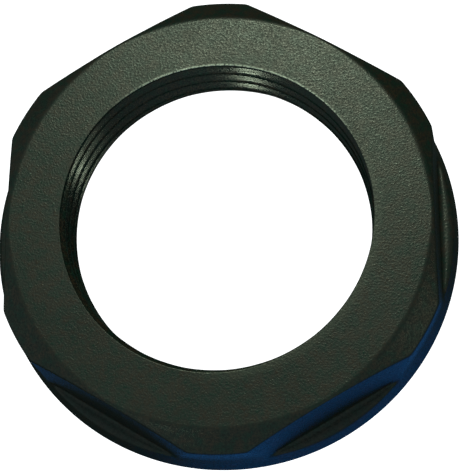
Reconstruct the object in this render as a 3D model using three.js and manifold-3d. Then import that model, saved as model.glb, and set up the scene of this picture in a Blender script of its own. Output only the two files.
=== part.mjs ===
// Flanged hexagonal locknut for a Pg 16 cable gland, moulded in one piece from black polyamide.
//
// Frame: millimetres, +Z up. The origin is the centre of the flange's bearing face. +Z runs along
// the bore towards the hexagon's face, and +X is square to one of the six wrench flats.

import * as THREE from 'three';
import { mergeVertices } from 'three/addons/utils/BufferGeometryUtils.js';
import Module from 'manifold-3d';

// Overall shape. The rim is widest at the bearing face and bevels in to a ledge round the hexagon.
const HEIGHT = 6.0;
const RIM_DIAMETER = 33.6;
const RIM_HEIGHT = 0.25;
const LEDGE_DIAMETER = 32.6;
const LEDGE_HEIGHT = 1.5;

// Hexagon. Its flats lean in by the mould's draft, from the ledge up to the face. Its corners are
// round, rise from the ledge's edge with less draft, and end in a chamfer that leaves a round face.
const FLATS = 6;
const ACROSS_FLATS_AT_LEDGE = 30.8;
const ACROSS_FLATS_AT_FACE = 29.4;
const CORNER_DIAMETER = 32.24;
const FACE_DIAMETER = 29.1;
const CHAMFER_ANGLE = THREE.MathUtils.degToRad(30);

// Pg 16 thread: 80 degrees between its flanks, 18 turns to the inch, right-hand
const THREAD_MAJOR_DIAMETER = 22.5;
const THREAD_MINOR_DIAMETER = 21.2;
const THREAD_PITCH = 25.4 / 18;
const THREAD_ANGLE = THREE.MathUtils.degToRad(80);

// The groove gets shallower over the last part of its way to the hexagon's face. Its middle comes
// out through the face at this angle round from +X.
const THREAD_EXIT_DIAMETER = 21.8;
const THREAD_FADE_HEIGHT = 0.7;
const THREAD_EXIT_ANGLE = THREE.MathUtils.degToRad(155);

// Lead-in chamfers at the two ends of the thread
const FLANGE_LEAD_IN_DIAMETER = 24.2;
const FACE_LEAD_IN_DIAMETER = 21.4;

// How finely the round surfaces are divided
const ROUND_SEGMENTS = 72;
const THREAD_STEPS_PER_TURN = 48;

// How far the cutting solids run past the outside of the part, and past the bore's wall into the bore
const OVERRUN = 1.0;
const GROOVE_OVERLAP = 0.05;

const wasm = await Module();
wasm.setup();

// A closed three.js geometry as a solid
function toSolid(geometry) {
  const positionsOnly = geometry.clone();
  positionsOnly.deleteAttribute('normal');
  positionsOnly.deleteAttribute('uv');
  const merged = mergeVertices(positionsOnly, 1e-5);
  const mesh = new wasm.Mesh({
    numProp: 3,
    vertProperties: new Float32Array(merged.attributes.position.array),
    triVerts: new Uint32Array(merged.index.array),
  });
  return new wasm.Manifold(mesh);
}

// A solid back as a three.js geometry
function toGeometry(solid) {
  const mesh = solid.getMesh();
  const geometry = new THREE.BufferGeometry();
  geometry.setAttribute('position', new THREE.BufferAttribute(mesh.vertProperties, 3));
  geometry.setIndex(new THREE.BufferAttribute(mesh.triVerts, 1));
  geometry.computeVertexNormals();
  return geometry;
}

// A body of revolution about Z, from [radius, z] points that start and end on the axis
function turned(profile) {
  const points = profile.map(([radius, z]) => new THREE.Vector2(radius, z));
  const geometry = new THREE.LatheGeometry(points, ROUND_SEGMENTS);
  geometry.rotateX(Math.PI / 2);
  return toSolid(geometry);
}

// The flange, the round corners, the chamfer and the face, before the flats are cut
function turnedBlankSolid() {
  const cornerRadius = CORNER_DIAMETER / 2;
  const faceRadius = FACE_DIAMETER / 2;
  const chamferHeight = (cornerRadius - faceRadius) * Math.tan(CHAMFER_ANGLE);
  return turned([
    [0, 0],
    [RIM_DIAMETER / 2, 0],
    [RIM_DIAMETER / 2, RIM_HEIGHT],
    [LEDGE_DIAMETER / 2, LEDGE_HEIGHT],
    [cornerRadius, HEIGHT - chamferHeight],
    [faceRadius, HEIGHT],
    [0, HEIGHT],
  ]);
}

// A slab that reaches up to the ledge and past the rim
function flangeSlabSolid() {
  const radius = RIM_DIAMETER / 2 + OVERRUN;
  return turned([
    [0, -OVERRUN],
    [radius, -OVERRUN],
    [radius, LEDGE_HEIGHT],
    [0, LEDGE_HEIGHT],
  ]);
}

// Corner radius, at height z, of the sharp hexagon that the six flats lie on
function sharpHexagonRadius(z) {
  const lean = (ACROSS_FLATS_AT_LEDGE - ACROSS_FLATS_AT_FACE) / (HEIGHT - LEDGE_HEIGHT);
  const acrossFlats = ACROSS_FLATS_AT_LEDGE - (z - LEDGE_HEIGHT) * lean;
  return acrossFlats / 2 / Math.cos(Math.PI / FLATS);
}

// The six drafted flats, as a tapered prism from the bearing face to above the hexagon's face
function flatsPrismSolid() {
  const top = HEIGHT + OVERRUN;
  const geometry = new THREE.CylinderGeometry(
    sharpHexagonRadius(top),
    sharpHexagonRadius(0),
    top,
    FLATS,
  );
  geometry.rotateX(Math.PI / 2);
  geometry.translate(0, 0, top / 2);
  return toSolid(geometry);
}

// The plain bore at the thread's minor diameter, opening out at 45 degrees at both ends
function boreSolid() {
  const minor = THREAD_MINOR_DIAMETER / 2;
  const flangeLeadIn = FLANGE_LEAD_IN_DIAMETER / 2;
  const faceLeadIn = FACE_LEAD_IN_DIAMETER / 2;
  return turned([
    [0, -OVERRUN],
    [flangeLeadIn + OVERRUN, -OVERRUN],
    [minor, flangeLeadIn - minor],
    [minor, HEIGHT - (faceLeadIn - minor)],
    [faceLeadIn + OVERRUN, HEIGHT + OVERRUN],
    [0, HEIGHT + OVERRUN],
  ]);
}

// The thread's groove at one radius: half its width, which is a quarter of the pitch halfway down
function grooveHalfWidth(radius) {
  const pitchRadius = (THREAD_MAJOR_DIAMETER + THREAD_MINOR_DIAMETER) / 4;
  return THREAD_PITCH / 4 + (pitchRadius - radius) * Math.tan(THREAD_ANGLE / 2);
}

// The thread's groove: a straight bar with the groove's section, wound into a right-hand helix
// that starts below the bearing face and ends above the hexagon's face. In the section, x is the
// radius and y points down.
function threadGrooveSolid() {
  const mouth = THREAD_MINOR_DIAMETER / 2 - GROOVE_OVERLAP;
  const root = THREAD_MAJOR_DIAMETER / 2;
  const section = new THREE.Shape([
    new THREE.Vector2(mouth, -grooveHalfWidth(mouth)),
    new THREE.Vector2(root, -grooveHalfWidth(root)),
    new THREE.Vector2(root, grooveHalfWidth(root)),
    new THREE.Vector2(mouth, grooveHalfWidth(mouth)),
  ]);
  const rise = HEIGHT + 2 * OVERRUN;
  const startAngle = THREAD_EXIT_ANGLE - ((HEIGHT + OVERRUN) / THREAD_PITCH) * 2 * Math.PI;
  const steps = Math.ceil((rise / THREAD_PITCH) * THREAD_STEPS_PER_TURN);
  const geometry = new THREE.ExtrudeGeometry(section, { depth: rise, steps, bevelEnabled: false });
  const position = geometry.attributes.position;
  for (let i = 0; i < position.count; i += 1) {
    const radius = position.getX(i);
    const turn = startAngle + (position.getZ(i) / THREAD_PITCH) * 2 * Math.PI;
    const z = position.getZ(i) - position.getY(i) - OVERRUN;
    position.setXYZ(i, radius * Math.cos(turn), radius * Math.sin(turn), z);
  }
  return toSolid(geometry);
}

// How far out the groove may reach: past its root, but less far towards the hexagon's face
function grooveLimitSolid() {
  const root = THREAD_MAJOR_DIAMETER / 2;
  const exit = THREAD_EXIT_DIAMETER / 2;
  const bottom = -2 * OVERRUN;
  const top = HEIGHT + 2 * OVERRUN;
  return turned([
    [0, bottom],
    [root + OVERRUN, bottom],
    [root + OVERRUN, HEIGHT - THREAD_FADE_HEIGHT],
    [root, HEIGHT - THREAD_FADE_HEIGHT],
    [exit, HEIGHT],
    [exit, top],
    [0, top],
  ]);
}

function locknutGeometry() {
  const blank = turnedBlankSolid().intersect(flangeSlabSolid().add(flatsPrismSolid()));
  const groove = threadGrooveSolid().intersect(grooveLimitSolid());
  return toGeometry(blank.subtract(boreSolid()).subtract(groove));
}

const locknutMaterial = new THREE.MeshStandardMaterial({
  color: new THREE.Color('#2b302b'),
  roughness: 0.62,
  metalness: 0,
  flatShading: true,
});

const locknut = new THREE.Mesh(locknutGeometry(), locknutMaterial);
locknut.name = 'locknut';

const part = new THREE.Group();
part.name = 'cable_gland_locknut';
part.add(locknut);

export default part;
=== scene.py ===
# The looks of a flanged locknut for a cable gland, moulded in black polyamide, built round its CAD model.
#
# Frame: metres, as the CAD model. The origin is the centre of the flange's bearing face, +Z runs along
# the bore towards the hexagon's face, and +X is square to one of the wrench flats.

import math

import bpy
import numpy as np
from mathutils import Matrix, Vector


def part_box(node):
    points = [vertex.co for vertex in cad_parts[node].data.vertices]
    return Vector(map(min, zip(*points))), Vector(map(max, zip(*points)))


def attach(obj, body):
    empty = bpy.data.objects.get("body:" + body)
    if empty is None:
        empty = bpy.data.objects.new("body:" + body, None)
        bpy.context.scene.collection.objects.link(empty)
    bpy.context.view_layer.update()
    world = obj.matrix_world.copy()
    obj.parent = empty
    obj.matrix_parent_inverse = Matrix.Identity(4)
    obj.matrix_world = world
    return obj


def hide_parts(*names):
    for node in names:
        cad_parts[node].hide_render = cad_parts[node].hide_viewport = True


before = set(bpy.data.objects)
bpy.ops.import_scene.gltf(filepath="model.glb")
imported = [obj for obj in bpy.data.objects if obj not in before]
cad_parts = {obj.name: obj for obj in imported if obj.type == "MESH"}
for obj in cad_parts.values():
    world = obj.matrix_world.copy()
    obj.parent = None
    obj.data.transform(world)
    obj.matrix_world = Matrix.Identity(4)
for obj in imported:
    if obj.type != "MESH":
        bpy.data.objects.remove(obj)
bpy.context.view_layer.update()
node_low, node_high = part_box("locknut")

MM = 0.001

# Overall shape, from the CAD node's box. The rim bevels in to a ledge round the hexagon's foot.
HEIGHT = node_high.z
RIM_RADIUS = node_high.x
RIM_HEIGHT = 0.25 * MM
LEDGE_RADIUS = 16.3 * MM
LEDGE_HEIGHT = 1.5 * MM

# Hexagon: how far out its flats are at the ledge, how far its flats and its round corners lean in for
# each metre up, about how high the corners end, and the chamfer that leaves a round face
FLATS = 6
FLAT_RADIUS = 15.4 * MM
FLAT_LEAN = 0.7 / 4.5
CORNER_LEAN = 0.05
CORNER_TOP = 5.09 * MM
FACE_RADIUS = 14.55 * MM
CHAMFER = math.tan(math.radians(30))

# Pg 16 thread, right-hand, 80 degrees between its flanks, with rounded crests and roots. The middle
# of its groove comes out through the hexagon's face at the exit angle, after it has got shallower.
THREAD_MINOR = 10.6 * MM
THREAD_MAJOR = 11.25 * MM
THREAD_PITCH = 25.4 / 18 * MM
THREAD_FLANK = math.tan(math.radians(40))
THREAD_EXIT = math.radians(155)
THREAD_EXIT_RADIUS = 10.90 * MM
THREAD_FADE_HEIGHT = 0.7 * MM
THREAD_ROUNDING = 0.18 * MM

# The bore opens out at 45 degrees to these radii at the bearing face and at the hexagon's face
FLANGE_MOUTH = 12.03 * MM
FACE_MOUTH = 10.64 * MM
LIP_ROUNDING = 0.06 * MM

# How far each edge's rounding reaches along the surfaces beside it, and the largest share of a short
# surface that it takes
UPRIGHT_BLEND = 0.08 * MM
FACE_EDGE_REACH = 0.22 * MM
WALL_EDGE_REACH = 0.18 * MM
FOOT_REACH = 0.30 * MM
LEDGE_EDGE_REACH = 0.45 * MM
RIM_EDGE_REACH = 0.08 * MM
CORNER_FILLET = 0.30 * MM
LARGEST_SHARE = 0.45

# Where round the bore its lip gets a painted highlight, a pale line, and where the face beside it gets a
# painted sheen. Each begins where the cosine of the angle from its middle passes its own value, and is full
# LIP_FADE above that.
LIP_HIGHLIGHT_ANGLE = math.radians(80)
LIP_HIGHLIGHT_COSINE = 0.6
LIP_HIGHLIGHT_REACH = 0.17 * MM
SHEEN_ANGLE = math.radians(325)
SHEEN_COSINE = 0.4
SHEEN_REACH = 0.65 * MM
LIP_FADE = 0.3

# How finely the surface is divided
COLUMNS = 360
NOMINAL_EDGE = math.radians(21.5)
EXTRA_COLUMNS = np.radians([-0.3, -0.15, 0.15, 0.3])
BORE_ROWS = 90
EDGE_ROWS = 6
SHOULDER_PASSES = 8

# Rows along the face, its chamfer, the side, the ledge, the bevel, the rim and the bearing face, and
# how bright each of the six edges between them wears, from 0 to 1
SURFACE_ROWS = [26, 4, 8, 4, 4, 2, 12]
EDGE_WEAR = [0.2, 0.8, 0.0, 0.4, 1.0, 1.0]


def smooth_max(a, b, width):
    """The larger of a and b, with the crease between them rounded over about this width."""
    near = np.maximum(width - np.abs(a - b), 0) / width
    return np.maximum(a, b) + near**2 * width / 4


def smooth_min(a, b, width):
    """The smaller of a and b, rounded over in the same way."""
    return -smooth_max(-a, -b, width)


def column_angles():
    """Evenly spread angles, with a few more on both sides of the hexagon's twelve upright edges."""
    flats = np.arange(FLATS) * 2 * math.pi / FLATS
    edges = np.concatenate([flats - NOMINAL_EDGE, flats + NOMINAL_EDGE])
    extra = (edges[:, None] + EXTRA_COLUMNS[None, :]).ravel()
    even = np.arange(COLUMNS) * 2 * math.pi / COLUMNS
    return np.unique(np.round(np.concatenate([even, edges, extra]) % (2 * math.pi), 9))


def flat_radius(z):
    """How far out the middle of a flat is at height z."""
    return FLAT_RADIUS - (z - LEDGE_HEIGHT) * FLAT_LEAN


def corner_radius(z):
    """The radius of the round corners at height z."""
    return LEDGE_RADIUS - (z - LEDGE_HEIGHT) * CORNER_LEAN


def beside_flat(angle):
    """Each angle as the nearest flat's angle and how far it is from there."""
    step = 2 * math.pi / FLATS
    flat = np.round(angle / step) * step
    return flat, angle - flat


def along_edges(angle, z):
    """The angles moved round a little, so that at height z the upright edges keep to their columns."""
    flat, offset = beside_flat(angle)
    edge = math.acos(flat_radius(z) / corner_radius(z))
    half_step = math.pi / FLATS
    return flat + np.sign(offset) * np.interp(abs(offset), [0, NOMINAL_EDGE, half_step], [0, edge, half_step])


def thread_radius(angle, z):
    """The thread's surface: a groove that climbs one pitch a turn."""
    from_groove = z - HEIGHT - THREAD_PITCH * (angle - THREAD_EXIT) / (2 * math.pi)
    from_groove = (from_groove + THREAD_PITCH / 2) % THREAD_PITCH - THREAD_PITCH / 2
    pitch_radius = (THREAD_MINOR + THREAD_MAJOR) / 2
    flank = pitch_radius + (THREAD_PITCH / 4 - np.abs(from_groove)) / THREAD_FLANK
    root = np.interp(z, [HEIGHT - THREAD_FADE_HEIGHT, HEIGHT], [THREAD_MAJOR, THREAD_EXIT_RADIUS])
    return smooth_max(smooth_min(flank, root, THREAD_ROUNDING), THREAD_MINOR, THREAD_ROUNDING)


def bore_radius(angle, z):
    """The bore's wall: the thread, opening out at 45 degrees at both ends."""
    radius = smooth_max(thread_radius(angle, z), FLANGE_MOUTH - z, LIP_ROUNDING)
    return smooth_max(radius, FACE_MOUTH - (HEIGHT - z), LIP_ROUNDING)


def side_radius(angle, z):
    """The hexagon's side at height z: six flats between round corners."""
    offset = beside_flat(angle)[1]
    return smooth_min(flat_radius(z) / np.cos(offset), corner_radius(z), UPRIGHT_BLEND)


def ring(radius, angle, z):
    """One row of points round the axis."""
    return np.stack(np.broadcast_arrays(radius * np.cos(angle), radius * np.sin(angle), z), axis=-1)


def shoulder_row(angle):
    """Where the face's chamfer meets the hexagon's side, found in a few passes."""
    z = np.full_like(angle, CORNER_TOP)
    for _ in range(SHOULDER_PASSES):
        radius = side_radius(angle, z)
        z = HEIGHT - (radius - FACE_RADIUS) * CHAMFER
    return ring(radius, angle, z)


def foot_rows(angle):
    """Where the side meets the ledge, and the ledge's edge. They part where the ledge dies out at the
    corners, which leaves room for a fillet there."""
    apart = np.maximum(CORNER_FILLET - (LEDGE_RADIUS - side_radius(angle, LEDGE_HEIGHT)), 0)
    foot_z = LEDGE_HEIGHT + apart
    ledge_z = LEDGE_HEIGHT - apart
    bevel = (RIM_RADIUS - LEDGE_RADIUS) / (LEDGE_HEIGHT - RIM_HEIGHT)
    return ring(side_radius(angle, foot_z), angle, foot_z), ring(LEDGE_RADIUS + apart * bevel, angle, ledge_z)


def rounded(before, at, after, reach):
    """Rows of points that round a profile's corner, reaching less far where its sides are short."""
    to_before = before - at
    to_after = after - at
    length_before = np.linalg.norm(to_before, axis=-1, keepdims=True)
    length_after = np.linalg.norm(to_after, axis=-1, keepdims=True)
    reach = np.minimum(reach, LARGEST_SHARE * np.minimum(length_before, length_after))
    start = at + to_before / length_before * reach
    end = at + to_after / length_after * reach
    t = np.linspace(0, 1, EDGE_ROWS)[:, None, None]
    return (1 - t) ** 2 * start + 2 * t * (1 - t) * at + t**2 * end


def straight(start, end, count):
    """Rows of points between two rows, closer together near both ends."""
    share = (1 - np.cos(np.linspace(0, math.pi, count + 2)[1:-1])) / 2
    return start + (end - start) * share[:, None, None]


def bore_rows(angle):
    """The bore's wall from the bearing face up, with both lips rounded into the faces."""
    turn = np.linspace(0, math.pi / 2, EDGE_ROWS)[:, None]
    inset = LIP_ROUNDING * (1 - np.sin(turn))
    outset = LIP_ROUNDING * (1 - np.cos(turn))
    z = np.linspace(LIP_ROUNDING, HEIGHT - LIP_ROUNDING, BORE_ROWS)[:, None]
    wall = ring(bore_radius(angle, z), angle, z)
    top = ring(bore_radius(angle, HEIGHT - inset) + outset, angle, HEIGHT - inset)
    bottom = ring(bore_radius(angle, inset) + outset, angle, inset)
    return np.concatenate([bottom[::-1], wall[1:-1], top])


def outer_rows(angle, face_start, bearing_end):
    """From the hexagon's face outwards, down its side and the rim, and in along the bearing face.
    Each piece comes with how bright it wears, which is 0 between the edges."""
    top_angle = along_edges(angle, CORNER_TOP)
    foot_angle = along_edges(angle, LEDGE_HEIGHT)
    face = ring(FACE_RADIUS, top_angle, HEIGHT)
    shoulder = shoulder_row(top_angle)
    foot, ledge = foot_rows(foot_angle)
    rim_top = ring(RIM_RADIUS, foot_angle, RIM_HEIGHT)
    rim_bottom = ring(RIM_RADIUS, foot_angle, 0.0)
    edges = [
        rounded(face_start, face, shoulder, FACE_EDGE_REACH),
        rounded(face, shoulder, foot, WALL_EDGE_REACH),
        rounded(shoulder, foot, ledge, FOOT_REACH),
        rounded(foot, ledge, rim_top, LEDGE_EDGE_REACH),
        rounded(ledge, rim_top, rim_bottom, RIM_EDGE_REACH),
        rounded(rim_top, rim_bottom, bearing_end, RIM_EDGE_REACH),
    ]
    starts = [face_start] + [edge[-1] for edge in edges]
    ends = [edge[0] for edge in edges] + [bearing_end]
    pieces = [(straight(starts[0], ends[0], SURFACE_ROWS[0]), 0.0)]
    for edge, wear, start, end, count in zip(edges, EDGE_WEAR, starts[1:], ends[1:], SURFACE_ROWS[1:]):
        pieces += [(edge, wear), (straight(start, end, count), 0.0)]
    return pieces


def near_lip(angle, points, middle, least_cosine, reach):
    """1 on the lip at the face, on one side of the bore, falling to 0 away from it."""
    radius = np.hypot(points[..., 0], points[..., 1])
    from_lip = np.hypot(radius - bore_radius(angle, HEIGHT), points[..., 2] - HEIGHT)
    beside = np.clip((np.cos(angle - middle) - least_cosine) / LIP_FADE, 0, 1)
    return beside * np.clip(2 - 2 * from_lip / reach, 0, 1)


def locknut_mesh():
    """One closed skin, made of rows of points that each go once round the axis."""
    angle = column_angles()
    bore = bore_rows(angle)
    outer = outer_rows(angle, bore[-1], bore[0])
    points = np.concatenate([bore] + [piece for piece, _ in outer])
    thread = np.zeros(len(points))
    thread[EDGE_ROWS:len(bore) - EDGE_ROWS] = 1
    edge = np.concatenate([np.zeros(len(bore))] + [np.full(len(piece), wear) for piece, wear in outer])
    values = {
        "thread": np.repeat(thread, len(angle)),
        "edge": np.repeat(edge, len(angle)),
        # Painted highlight: a pale line along the lip at the top of the bore
        "lip_highlight": near_lip(angle, points, LIP_HIGHLIGHT_ANGLE, LIP_HIGHLIGHT_COSINE, LIP_HIGHLIGHT_REACH).ravel(),
        # Painted sheen: a paler patch on the face beside the lower right of the bore
        "face_sheen": near_lip(angle, points, SHEEN_ANGLE, SHEEN_COSINE, SHEEN_REACH).ravel(),
    }
    rows, columns = points.shape[:2]

    index = np.arange(rows * columns).reshape(rows, columns)
    next_column = np.roll(index, -1, axis=1)
    next_row = np.roll(index, -1, axis=0)
    next_both = np.roll(next_row, -1, axis=1)
    quads = np.stack([index, next_row, next_both, next_column], axis=-1).reshape(-1, 4)

    mesh = bpy.data.meshes.new("locknut_skin")
    mesh.from_pydata(points.reshape(-1, 3).tolist(), [], quads.tolist())
    for name, value in values.items():
        mesh.attributes.new(name, "FLOAT", "POINT").data.foreach_set("value", value)
    mesh.polygons.foreach_set("use_smooth", np.ones(len(quads), bool))
    mesh.update()
    return mesh


def add_locknut():
    locknut = bpy.data.objects.new("moulded_locknut", locknut_mesh())
    bpy.context.scene.collection.objects.link(locknut)
    return locknut


# The plastic's colours: dark specks over green and brown patches, paler where edges are worn, with a
# painted sheen on the face beside the bore and a painted highlight on the lip
SPECK_COLOUR = (0.0080, 0.0100, 0.0085, 1.0)
GREEN_COLOUR = (0.011, 0.040, 0.027, 1.0)
BROWN_COLOUR = (0.058, 0.035, 0.022, 1.0)
WORN_COLOUR = (0.030, 0.032, 0.029, 1.0)
# Painted sheen colour for the face beside the bore
SHEEN_COLOUR = (0.085, 0.088, 0.068, 1.0)
# Painted highlight colour for the lip
LIP_HIGHLIGHT_COLOUR = (0.80, 0.80, 0.70, 1.0)

# Its texture: the sizes of the grain, of the coloured patches and of the glossier ones, the grain's
# height, and how the noise is stretched round the bore into rings and how high those are beside the grain
GRAIN_SIZE = 0.14 * MM
MOTTLE_SIZE = 0.7 * MM
PATCH_SIZE = 2.5 * MM
GRAIN_HEIGHT = 0.019 * MM
RING_SCALE = (150.0, 150.0, 9000.0)
RING_HEIGHT_SHARE = 0.5

# Its gloss: the faces' roughness from patch to patch, what the grain adds or takes away, and the thread's
FACE_ROUGHNESS = (0.32, 0.37)
GRAIN_ROUGHNESS = 0.14
THREAD_ROUGHNESS = (0.16, 0.28)
POLYAMIDE_IOR = 1.53


def add_node(tree, kind, inputs=None, **settings):
    """A node with its settings, and each input either given a value or linked to another's output."""
    made = tree.nodes.new(kind)
    for name, value in settings.items():
        setattr(made, name, value)
    for name, value in (inputs or {}).items():
        if isinstance(value, bpy.types.NodeSocket):
            tree.links.new(value, made.inputs[name])
        else:
            made.inputs[name].default_value = value
    return made


def noise(tree, vector, scale, detail=3.0, roughness=0.55):
    inputs = {"Vector": vector, "Scale": scale, "Detail": detail, "Roughness": roughness}
    return add_node(tree, "ShaderNodeTexNoise", inputs).outputs["Fac"]


def remap(tree, value, low, high, to_low, to_high):
    inputs = {"Value": value, "From Min": low, "From Max": high, "To Min": to_low, "To Max": to_high}
    return add_node(tree, "ShaderNodeMapRange", inputs).outputs["Result"]


def maths(tree, operation, a, b):
    return add_node(tree, "ShaderNodeMath", {0: a, 1: b}, operation=operation).outputs[0]


def blend_values(tree, factor, a, b):
    """a where factor is 0 and b where it is 1, for numbers."""
    return add_node(tree, "ShaderNodeMix", {0: factor, 2: a, 3: b}, data_type="FLOAT").outputs[0]


def blend_colours(tree, factor, a, b):
    """a where factor is 0 and b where it is 1, for colours."""
    return add_node(tree, "ShaderNodeMix", {0: factor, 6: a, 7: b}, data_type="RGBA").outputs[2]


def attribute(tree, name):
    return add_node(tree, "ShaderNodeAttribute", attribute_name=name).outputs["Fac"]


def polyamide_colour(tree, place, grain):
    """Black with green and brown patches, paler on worn edges, with a painted sheen beside the bore and a
    painted highlight on its lip.
    """
    mottle = remap(tree, noise(tree, place, 1 / MOTTLE_SIZE), 0.40, 0.60, 0.0, 1.0)
    unspecked = remap(tree, grain, 0.35, 0.70, 0.0, 1.0)
    colour = blend_colours(tree, mottle, GREEN_COLOUR, BROWN_COLOUR)
    colour = blend_colours(tree, unspecked, SPECK_COLOUR, colour)
    worn = maths(tree, "MULTIPLY", attribute(tree, "edge"), unspecked)
    colour = blend_colours(tree, worn, colour, WORN_COLOUR)
    # Painted sheen: the face beside the bore made lighter where light would catch it
    face_sheen = maths(tree, "MULTIPLY", attribute(tree, "face_sheen"), unspecked)
    colour = blend_colours(tree, face_sheen, colour, SHEEN_COLOUR)
    # Painted highlight: a pale line along the lip, broken up by the grain
    broken = remap(tree, grain, 0.40, 0.50, 0.10, 1.0)
    lip_highlight = maths(tree, "MULTIPLY", attribute(tree, "lip_highlight"), broken)
    return blend_colours(tree, lip_highlight, colour, LIP_HIGHLIGHT_COLOUR)


def polyamide_material():
    """Black polyamide: spark-eroded faces, and a smoother thread with fine rings."""
    material = bpy.data.materials.new("black_polyamide")
    material.use_nodes = True
    tree = material.node_tree
    tree.nodes.clear()
    place = add_node(tree, "ShaderNodeTexCoord").outputs["Object"]
    in_thread = attribute(tree, "thread")
    grain = noise(tree, place, 1 / GRAIN_SIZE, detail=2.0, roughness=0.65)
    patches = noise(tree, place, 1 / PATCH_SIZE)
    stretched = add_node(tree, "ShaderNodeMapping", {"Vector": place, "Scale": RING_SCALE})
    rings = noise(tree, stretched.outputs["Vector"], 1.0, detail=2.0)

    face = remap(tree, patches, 0.30, 0.70, *FACE_ROUGHNESS)
    face = maths(tree, "ADD", face, remap(tree, grain, 0.32, 0.68, GRAIN_ROUGHNESS, -GRAIN_ROUGHNESS))
    thread = remap(tree, rings, 0.3, 0.7, *THREAD_ROUGHNESS)
    roughness = blend_values(tree, in_thread, face, thread)

    height = blend_values(tree, in_thread, grain, maths(tree, "MULTIPLY", rings, RING_HEIGHT_SHARE))
    bump = add_node(tree, "ShaderNodeBump", {"Height": height, "Distance": GRAIN_HEIGHT, "Strength": 1.0})

    inputs = {
        "Base Color": polyamide_colour(tree, place, grain),
        "Roughness": roughness,
        "IOR": POLYAMIDE_IOR,
        "Normal": bump.outputs["Normal"],
    }
    shader = add_node(tree, "ShaderNodeBsdfPrincipled", inputs)
    add_node(tree, "ShaderNodeOutputMaterial", {"Surface": shader.outputs["BSDF"]})
    return material


# The camera
CAMERA_PLACE = Vector((8.50, -21.97, 84.70)) * MM
CAMERA_AIM = Vector((0.92, -1.56, 6.0)) * MM
CAMERA_UP = Vector((-0.0025, 1.0, 0.0))
CAMERA_ANGLE = math.radians(22.234)

# The floor and its backdrop, and the card under the bore
FLOOR_RADIUS = 1.6
FLOOR_COLUMNS = 96
BACKDROP_HEIGHT = 1.2
BACKDROP_BEND = 0.5
BEND_STEPS = 16
PAPER_COLOURS = (0.86, 0.87, 0.88, 1.0), (0.90, 0.90, 0.90, 1.0)
CARD_RADIUS = 13.0 * MM
CARD_HEIGHT = 0.05 * MM
CARD_COLUMNS = 48
CARD_COLOUR = (0.025, 0.06, 0.05, 1.0)

# The room that the nut reflects: dim all round, paler on one side, and blue below and at the right
ROOM_COLOUR = (0.022, 0.033, 0.026, 1.0)
PALE_COLOUR = (0.18, 0.25, 0.24, 1.0)
BLUE_BELOW_COLOUR = (0.022, 0.150, 0.440, 1.0)
BLUE_RIGHT_COLOUR = (0.020, 0.140, 0.440, 1.0)
PALE_SIDE = (-0.45, -0.80, 0.40)
BLUE_SIDE = (0.53, -0.85, 0.0)

# The lamps' colours, the way up that they are turned, and the two places in the thread that they pick out
LAMP_COLOUR = (0.83, 1.0, 0.71)
WHITE = (1.0, 1.0, 1.0)
LAMP_UP = Vector((0.0, 1.0, 0.001))
THREAD_TOP = Vector((1.9, 10.6, 3.5)) * MM
THREAD_LEFT = Vector((-10.0, 3.6, 3.5)) * MM


def facing(place, aim, up):
    """A matrix that stands at place and looks at aim along its own -Z."""
    forward = (aim - place).normalized()
    right = forward.cross(up).normalized()
    axes = Matrix((right, right.cross(forward), -forward)).transposed()
    return Matrix.Translation(place) @ axes.to_4x4()


def add_camera():
    data = bpy.data.cameras.new("camera")
    data.angle = CAMERA_ANGLE
    data.clip_start = 1 * MM
    camera = bpy.data.objects.new("camera", data)
    bpy.context.scene.collection.objects.link(camera)
    camera.matrix_world = facing(CAMERA_PLACE, CAMERA_AIM, CAMERA_UP)
    bpy.context.scene.camera = camera


def floor_material():
    """Pale matt paper with a barely visible tooth."""
    material = bpy.data.materials.new("pale_paper")
    material.use_nodes = True
    tree = material.node_tree
    tree.nodes.clear()
    place = add_node(tree, "ShaderNodeTexCoord").outputs["Object"]
    tooth = noise(tree, place, 900.0)
    colour = blend_colours(tree, tooth, *PAPER_COLOURS)
    inputs = {"Base Color": colour, "Roughness": 0.9}
    shader = add_node(tree, "ShaderNodeBsdfPrincipled", inputs)
    add_node(tree, "ShaderNodeOutputMaterial", {"Surface": shader.outputs["BSDF"]})
    return material


def add_floor():
    """A round paper floor that curves up into a low wall, so that no horizon shows."""
    bend = np.linspace(0, math.pi / 2, BEND_STEPS)
    radius = [0.0, FLOOR_RADIUS - BACKDROP_BEND]
    height = [0.0, 0.0]
    radius += list(FLOOR_RADIUS - BACKDROP_BEND + BACKDROP_BEND * np.sin(bend[1:]))
    height += list(BACKDROP_BEND * (1 - np.cos(bend[1:])))
    radius.append(FLOOR_RADIUS)
    height.append(BACKDROP_HEIGHT)
    columns = FLOOR_COLUMNS
    angle = np.arange(columns) * 2 * math.pi / columns
    points = [(0.0, 0.0, 0.0)]
    for r, z in zip(radius[1:], height[1:]):
        points += [(r * math.cos(a), r * math.sin(a), z) for a in angle]
    faces = [(0, 1 + i, 1 + (i + 1) % columns) for i in range(columns)]
    for row in range(len(radius) - 2):
        first = 1 + row * columns
        for i in range(columns):
            j = (i + 1) % columns
            faces.append((first + i, first + columns + i, first + columns + j, first + j))
    mesh = bpy.data.meshes.new("floor")
    mesh.from_pydata(points, [], faces)
    mesh.polygons.foreach_set("use_smooth", np.ones(len(faces), bool))
    mesh.materials.append(floor_material())
    floor = bpy.data.objects.new("floor", mesh)
    bpy.context.scene.collection.objects.link(floor)
    floor.visible_glossy = False
    floor.visible_diffuse = False
    return floor


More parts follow.
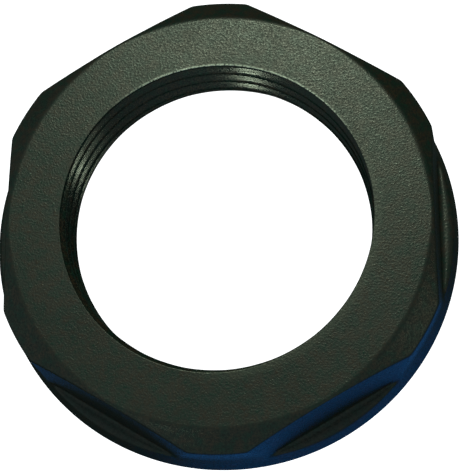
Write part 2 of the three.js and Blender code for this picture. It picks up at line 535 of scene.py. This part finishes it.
def add_dark_card():
    """A dark, faintly glowing disc under the bore, seen only in reflections."""
    angle = np.arange(CARD_COLUMNS) * 2 * math.pi / CARD_COLUMNS
    points = [(CARD_RADIUS * math.cos(a), CARD_RADIUS * math.sin(a), CARD_HEIGHT) for a in angle]
    mesh = bpy.data.meshes.new("dark_card")
    mesh.from_pydata(points, [], [tuple(range(CARD_COLUMNS))])
    material = bpy.data.materials.new("dark_card")
    material.use_nodes = True
    tree = material.node_tree
    tree.nodes.clear()
    glow = add_node(tree, "ShaderNodeEmission", {"Color": CARD_COLOUR, "Strength": 1.0})
    add_node(tree, "ShaderNodeOutputMaterial", {"Surface": glow.outputs["Emission"]})
    mesh.materials.append(material)
    card = bpy.data.objects.new("dark_card", mesh)
    bpy.context.scene.collection.objects.link(card)
    card.visible_camera = False
    card.visible_diffuse = False
    card.visible_shadow = False
    return card


def linked(name, thing):
    """A collection for a light's linking that holds only this object."""
    collection = bpy.data.collections.new(name)
    collection.objects.link(thing)
    return collection


def add_softbox(name, lit, place, size, radiance, colour=LAMP_COLOUR, aim=(0, 0, 0), spread=180):
    """A square area light that lights and is shaded by one object only. A narrow spread, in degrees,
    keeps its light to the place it is aimed at, and makes it brighter there."""
    data = bpy.data.lights.new(name, "AREA")
    data.shape = "SQUARE"
    data.size = size
    data.energy = radiance * math.pi * size**2
    data.color = colour
    data.spread = math.radians(spread)
    light = bpy.data.objects.new(name, data)
    bpy.context.scene.collection.objects.link(light)
    light.matrix_world = facing(Vector(place), Vector(aim), LAMP_UP)
    light.visible_camera = False
    light.light_linking.receiver_collection = linked(name + "_receivers", lit)
    light.light_linking.blocker_collection = linked(name + "_blockers", lit)


def towards(tree, direction, aim):
    """How nearly a direction points along aim: 1 if it does, 0 if it is square to it."""
    inputs = {0: direction, 1: Vector(aim).normalized()}
    return add_node(tree, "ShaderNodeVectorMath", inputs, operation="DOT_PRODUCT").outputs["Value"]


def add_world():
    """The room, as colours that change with the direction looked in."""
    world = bpy.data.worlds.new("room")
    bpy.context.scene.world = world
    world.use_nodes = True
    tree = world.node_tree
    tree.nodes.clear()
    direction = add_node(tree, "ShaderNodeTexCoord").outputs["Generated"]
    parts = add_node(tree, "ShaderNodeSeparateXYZ", {"Vector": direction})
    above = remap(tree, parts.outputs["Z"], -0.30, 0.10, 0.0, 1.0)
    pale = remap(tree, towards(tree, direction, PALE_SIDE), -0.7, 0.7, 0.0, 1.0)
    pale = maths(tree, "MULTIPLY", pale, above)
    below = remap(tree, parts.outputs["Z"], -0.86, -0.97, 0.0, 1.0)
    below = maths(tree, "MULTIPLY", below, remap(tree, parts.outputs["Y"], 0.30, 0.06, 0.0, 1.0))
    low = remap(tree, parts.outputs["Z"], -0.25, -0.50, 0.0, 1.0)
    right = remap(tree, towards(tree, direction, BLUE_SIDE), 0.38, 0.53, 0.0, 1.0)
    right = maths(tree, "MULTIPLY", right, low)
    colour = blend_colours(tree, pale, ROOM_COLOUR, PALE_COLOUR)
    colour = blend_colours(tree, below, colour, BLUE_BELOW_COLOUR)
    colour = blend_colours(tree, right, colour, BLUE_RIGHT_COLOUR)
    background = add_node(tree, "ShaderNodeBackground", {"Color": colour, "Strength": 1.0})
    add_node(tree, "ShaderNodeOutputWorld", {"Surface": background.outputs["Background"]})


def add_studio(locknut):
    add_camera()
    add_world()
    floor = add_floor()
    add_dark_card()
    add_softbox("floor_light", floor, (0.0, 0.0, 1.3), size=1.6, radiance=4.5, colour=WHITE)
    add_softbox("key", locknut, (-0.01, 0.48, 0.78), size=0.20, radiance=18.5)
    add_softbox("side", locknut, (0.85, -0.25, 0.45), size=0.30, radiance=0.8)
    glint_top = (-0.0209, -0.0545, 0.0442)
    add_softbox("glint_top", locknut, glint_top, 0.007, 0.5, aim=THREAD_TOP, spread=22)
    glint_left = (0.0607, -0.0048, 0.0401)
    add_softbox("glint_left", locknut, glint_left, 0.007, 0.16, aim=THREAD_LEFT, spread=18)
    bpy.context.scene.view_settings.view_transform = "Standard"


locknut = add_locknut()
locknut.data.materials.append(polyamide_material())
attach(locknut, "root")
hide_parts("locknut")
add_studio(locknut)
